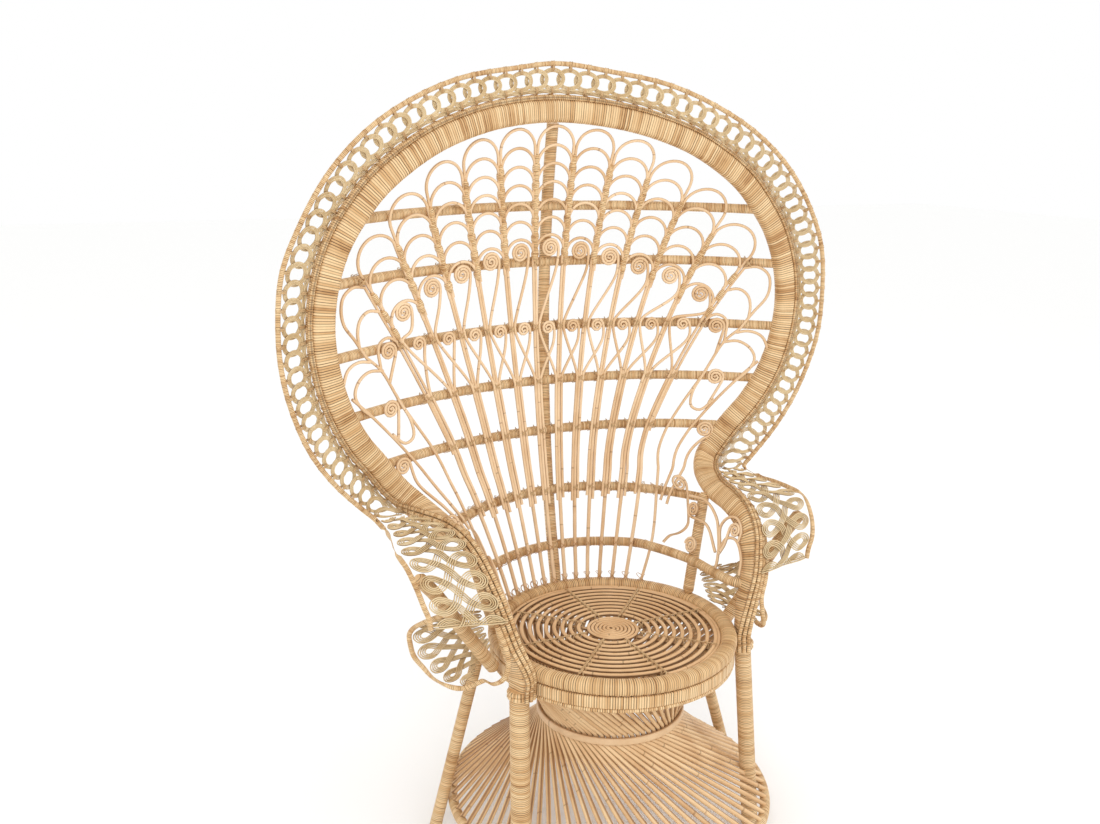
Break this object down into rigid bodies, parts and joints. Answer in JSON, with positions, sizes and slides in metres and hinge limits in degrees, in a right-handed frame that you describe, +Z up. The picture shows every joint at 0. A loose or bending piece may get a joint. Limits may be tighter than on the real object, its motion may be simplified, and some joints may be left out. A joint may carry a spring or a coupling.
{
  "type": "rattan peacock chair",
  "caption": "Woven rattan lounge chair with a tall balloon-shaped back of scalloped arches and scrolls, a lace edge, round woven seat and hourglass base.",
  "frame": {"origin": "on the floor, under the middle of the chair's bounding box", "axes": "+Z up, -Y towards the front, where the sitter looks, +X to the viewer's right from the front"},
  "size_m": [1.0804, 0.6074, 1.3601],
  "materials": {
    "wrapped_cane": "satin honey rattan wrapped with peel",
    "round_cane": "satin natural rattan cane",
    "peel_lace": "pale split rattan peel"
  },
  "bodies": {
    "root": {"hoop": "wrapped_cane", "edge_bead_rear": "round_cane", "edge_bead_middle": "round_cane", "edge_bead_front": "round_cane", "outer_rim": "wrapped_cane", "ring_lace": "peel_lace", "wing_lace_right": "peel_lace", "wing_lace_left": "peel_lace", "lobe_rim_right": "wrapped_cane", "lobe_rim_left": "wrapped_cane", "lobe_lace_right": "peel_lace", "lobe_lace_left": "peel_lace", "cross_rod_1": "wrapped_cane", "cross_rod_2": "wrapped_cane", "cross_rod_3": "wrapped_cane", "cross_rod_4": "wrapped_cane", "cross_rod_5": "wrapped_cane", "cross_rod_6": "wrapped_cane", "arm_rail": "wrapped_cane", "spine": "wrapped_cane", "fan_column_left_5": "round_cane", "fan_column_left_4": "round_cane", "fan_column_left_3": "round_cane", "fan_column_left_2": "round_cane", "fan_column_left_1": "round_cane", "fan_column_centre": "round_cane", "fan_column_right_1": "round_cane", "fan_column_right_2": "round_cane", "fan_column_right_3": "round_cane", "fan_column_right_4": "round_cane", "fan_column_right_5": "round_cane", "side_loops_left": "round_cane", "side_loops_right": "round_cane", "side_post_left": "wrapped_cane", "side_post_right": "wrapped_cane", "side_scrolls_left": "round_cane", "side_scrolls_right": "round_cane", "waist_scroll_left": "round_cane", "waist_scroll_right": "round_cane", "rail_scroll_left": "round_cane", "rail_scroll_right": "round_cane", "wing_strut_right": "wrapped_cane", "wing_strut_left": "wrapped_cane", "seat_roll": "wrapped_cane", "seat_skirt": "wrapped_cane", "seat_trim": "round_cane", "seat_spokes": "round_cane", "seat_web": "round_cane", "seat_coil": "round_cane", "front_leg_left": "wrapped_cane", "front_leg_right": "wrapped_cane", "rear_leg_left": "wrapped_cane", "rear_leg_right": "wrapped_cane", "hourglass_sticks": "round_cane", "waist_ring": "round_cane", "base_ring": "wrapped_cane", "leg_collar_left": "wrapped_cane", "leg_collar_right": "wrapped_cane"}
  },
  "joints": []
}
